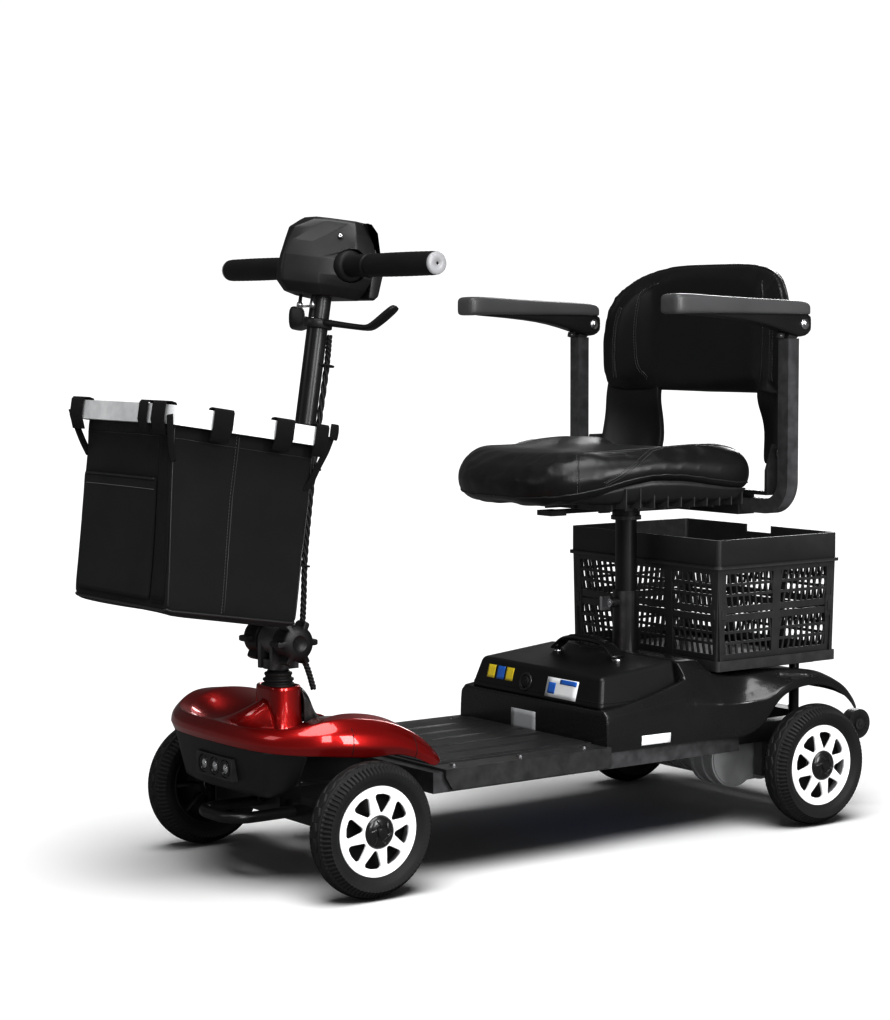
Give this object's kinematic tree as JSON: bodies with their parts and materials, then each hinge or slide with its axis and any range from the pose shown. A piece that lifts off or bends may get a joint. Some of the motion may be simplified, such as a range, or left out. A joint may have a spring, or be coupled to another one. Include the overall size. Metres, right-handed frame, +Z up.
{
  "type": "mobility scooter",
  "caption": "Travel mobility scooter with steered front wheels, folding tiller, front basket, swivelling armchair seat, lift-out battery and rear crate.",
  "frame": {"origin": "on the ground under the middle of the whole object's bounding box", "axes": "+X forward, +Y to the rider's left, +Z up"},
  "size_m": [1.291, 0.552, 0.9391],
  "materials": {
    "black_paint": "satin powder coat",
    "red_gloss": "metallic gloss paint",
    "black_plastic": "fine moulded grain",
    "body_plastic": "semi-gloss",
    "mat_rubber": "ribbed",
    "grip_rubber": "soft matt",
    "lens": "clear",
    "cast_metal": "as cast",
    "motor_metal": "satin",
    "zinc_steel": "zinc plated",
    "cell_wrap": "shrink wrap",
    "horn_yellow": "gloss",
    "rim_alloy": "satin",
    "bag_fabric": "coated weave",
    "vinyl": "smooth vinyl",
    "arm_pad": "moulded",
    "tyre": "treaded",
    "wheel_white": "gloss"
  },
  "bodies": {
    "chassis": {"main_frame": "black_paint", "rear_frame": "black_paint", "floor_pan": "black_plastic", "floor_mat": "mat_rubber", "front_shroud": "red_gloss", "column_cover": "black_plastic", "front_valance": "black_plastic", "headlight_housing": "black_plastic", "headlight_lenses": "lens", "front_bumper_hoop": "black_paint", "rear_shroud": "body_plastic", "transaxle": "cast_metal", "drive_motor": "motor_metal", "crate_carrier": "black_paint", "crate_base": "black_plastic", "crate_rim": "black_plastic", "crate_panels": "black_plastic", "frame_fasteners": "zinc_steel", "steering_bearings": "zinc_steel"},
    "battery": {"battery_case": "body_plastic", "battery_cells": "cell_wrap", "battery_handle": "black_plastic", "charge_port": "black_plastic"},
    "steering": {"steering_shaft": "black_paint"},
    "knuckle_left": {"knuckle_left": "black_paint"},
    "knuckle_right": {"knuckle_right": "black_paint"},
    "tie_rod": {"tie_rod": "zinc_steel"},
    "tiller": {"tiller_tube": "black_paint", "head_shell": "black_plastic", "head_dash": "black_plastic", "handlebar": "black_paint", "grips": "grip_rubber", "basket_rim": "rim_alloy", "basket_bag": "bag_fabric", "tiller_cable": "grip_rubber"},
    "tiller_knobs": {"tiller_knobs": "black_plastic"},
    "throttle_lever": {"throttle_lever": "black_plastic"},
    "speed_dial": {"speed_dial": "black_plastic"},
    "power_key": {"power_key": "zinc_steel"},
    "horn_button": {"horn_button": "horn_yellow"},
    "seat_column": {"seat_post": "black_paint"},
    "post_lock_bolt": {"post_lock_bolt": "zinc_steel"},
    "seat": {"seat_base": "black_plastic", "seat_cushion": "vinyl"},
    "swivel_lever": {"swivel_lever": "black_plastic"},
    "backrest": {"backrest_shell": "black_plastic", "backrest_cushion": "vinyl"},
    "armrest_bar_left": {"armrest_bar_left": "black_paint"},
    "armrest_bar_right": {"armrest_bar_right": "black_paint"},
    "armrest_left": {"armrest_left": "arm_pad"},
    "armrest_right": {"armrest_right": "arm_pad"},
    "front_left_wheel": {"front_left_tyre": "tyre", "front_left_rim": "wheel_white"},
    "front_right_wheel": {"front_right_tyre": "tyre", "front_right_rim": "wheel_white"},
    "rear_left_wheel": {"rear_left_tyre": "tyre", "rear_left_rim": "wheel_white"},
    "rear_right_wheel": {"rear_right_tyre": "tyre", "rear_right_rim": "wheel_white"},
    "anti_tip_wheels": {"anti_tip_wheels": "black_plastic"}
  },
  "joints": [
    {"name": "steering_turn", "type": "hinge", "parent": "chassis", "child": "steering", "pos_m": [0.39259, 0, 0.2], "axis": [0, 0, 1], "range_deg": [-32, 32]},
    {"name": "knuckle_left_turn", "type": "hinge", "parent": "chassis", "child": "knuckle_left", "pos_m": [0.38459, 0.165, 0.094], "axis": [0, 0, 1], "range_deg": [-32, 32]},
    {"name": "knuckle_right_turn", "type": "hinge", "parent": "chassis", "child": "knuckle_right", "pos_m": [0.38459, -0.165, 0.094], "axis": [0, 0, 1], "range_deg": [-32, 32]},
    {"name": "tie_rod_pivot", "type": "hinge", "parent": "steering", "child": "tie_rod", "pos_m": [0.33259, 0, 0.132], "axis": [0, 0, 1], "range_deg": [-32, 32]},
    {"name": "front_left_spin", "type": "hinge", "parent": "knuckle_left", "child": "front_left_wheel", "pos_m": [0.38459, 0.224, 0.095], "axis": [0, 1, 0], "continuous": true},
    {"name": "front_right_spin", "type": "hinge", "parent": "knuckle_right", "child": "front_right_wheel", "pos_m": [0.38459, -0.224, 0.095], "axis": [0, 1, 0], "continuous": true},
    {"name": "rear_left_spin", "type": "hinge", "parent": "chassis", "child": "rear_left_wheel", "pos_m": [-0.45541, 0.224, 0.095], "axis": [0, 1, 0], "continuous": true},
    {"name": "rear_right_spin", "type": "hinge", "parent": "chassis", "child": "rear_right_wheel", "pos_m": [-0.45541, -0.224, 0.095], "axis": [0, 1, 0], "continuous": true},
    {"name": "anti_tip_spin", "type": "hinge", "parent": "chassis", "child": "anti_tip_wheels", "pos_m": [-0.62141, 0.15, 0.133], "axis": [0, 1, 0], "continuous": true},
    {"name": "tiller_fold", "type": "hinge", "parent": "steering", "child": "tiller", "pos_m": [0.39259, 0, 0.334], "axis": [0, 1, 0], "range_deg": [-18, 8]},
    {"name": "tiller_knob_turn", "type": "hinge", "parent": "steering", "child": "tiller_knobs", "pos_m": [0.39259, 0, 0.334], "axis": [0, 1, 0], "range_deg": [0, 180]},
    {"name": "throttle_pull", "type": "hinge", "parent": "tiller", "child": "throttle_lever", "pos_m": [0.32094, 0, 0.78636], "axis": [-0.1564, 0, 0.9877], "range_deg": [-20, 20]},
    {"name": "speed_dial_turn", "type": "hinge", "parent": "tiller", "child": "speed_dial", "pos_m": [0.26825, 0.03, 0.90604], "axis": [-0.8398, 0, 0.5428], "range_deg": [0, 270]},
    {"name": "key_turn", "type": "hinge", "parent": "tiller", "child": "power_key", "pos_m": [0.26716, -0.034, 0.90436], "axis": [-0.8398, 0, 0.5428], "range_deg": [0, 90]},
    {"name": "horn_press", "type": "slide", "parent": "tiller", "child": "horn_button", "axis": [0.8398, 0, -0.5428], "range_m": [0, 0.0025]},
    {"name": "battery_lift", "type": "slide", "parent": "chassis", "child": "battery", "axis": [0, 0, 1], "range_m": [0, 0.055]},
    {"name": "seat_height", "type": "slide", "parent": "chassis", "child": "seat_column", "axis": [0, 0, 1], "range_m": [0, 0.05]},
    {"name": "post_lock_turn", "type": "hinge", "parent": "chassis", "child": "post_lock_bolt", "pos_m": [-0.23041, 0, 0.345], "axis": [1, 0, 0], "range_deg": [0, 180]},
    {"name": "seat_swivel", "type": "hinge", "parent": "seat_column", "child": "seat", "pos_m": [-0.25841, 0, 0.49], "axis": [0, 0, 1], "continuous": true},
    {"name": "swivel_lever_lift", "type": "hinge", "parent": "seat", "child": "swivel_lever", "pos_m": [-0.22841, -0.032, 0.492], "axis": [0, -1, 0], "range_deg": [0, 8]},
    {"name": "backrest_fold", "type": "hinge", "parent": "seat", "child": "backrest", "pos_m": [-0.38241, 0, 0.586], "axis": [0, 1, 0], "range_deg": [0, 75]},
    {"name": "armrest_width_left", "type": "slide", "parent": "seat", "child": "armrest_bar_left", "axis": [0, 1, 0], "range_m": [0, 0.05]},
    {"name": "armrest_width_right", "type": "slide", "parent": "seat", "child": "armrest_bar_right", "axis": [0, -1, 0], "range_m": [0, 0.05]},
    {"name": "armrest_left_flip", "type": "hinge", "parent": "armrest_bar_left", "child": "armrest_left", "pos_m": [-0.38741, 0.252, 0.784], "axis": [0, -1, 0], "range_deg": [0, 90]},
    {"name": "armrest_right_flip", "type": "hinge", "parent": "armrest_bar_right", "child": "armrest_right", "pos_m": [-0.38741, -0.252, 0.784], "axis": [0, -1, 0], "range_deg": [0, 90]}
  ],
  "couplings": [
    {"joint": "knuckle_left_turn", "follows": "steering_turn", "ratio": 1},
    {"joint": "knuckle_right_turn", "follows": "steering_turn", "ratio": 1},
    {"joint": "tie_rod_pivot", "follows": "steering_turn", "ratio": -1}
  ]
}
